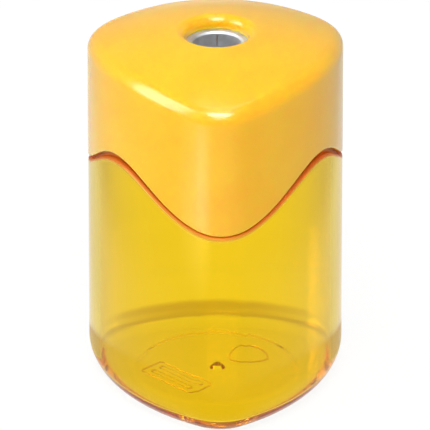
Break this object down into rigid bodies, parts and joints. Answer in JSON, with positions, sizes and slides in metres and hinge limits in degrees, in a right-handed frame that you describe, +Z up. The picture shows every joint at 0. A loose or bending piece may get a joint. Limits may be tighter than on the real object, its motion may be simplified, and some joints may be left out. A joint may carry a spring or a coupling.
{
  "type": "pencil sharpener",
  "caption": "Three-sided pencil sharpener: a metal wedge with a steel blade hangs in a domed opaque cap, which lifts off a translucent shavings container.",
  "frame": {"origin": "middle of the footprint's bounding box, on the surface that the container stands on", "axes": "+Z up, along the pencil bore towards its mouth; +X across the object; one rounded corner of the plan points to -Y"},
  "size_m": [0.041, 0.0408, 0.0617],
  "materials": {
    "container_plastic": "translucent amber-yellow, glossy",
    "cap_plastic": "opaque yellow, satin gloss",
    "cast_metal": "die-cast, with turned faces and bore",
    "blade_steel": "ground",
    "screw_steel": "nickel-plated"
  },
  "bodies": {
    "container": {"container": "container_plastic"},
    "cap": {"cap": "cap_plastic", "sharpener_body": "cast_metal", "blade": "blade_steel", "blade_screw": "screw_steel"}
  },
  "joints": [
    {"name": "cap_lift", "type": "slide", "parent": "container", "child": "cap", "axis": [0, 0, 1], "range_m": [0, 0.03]}
  ]
}
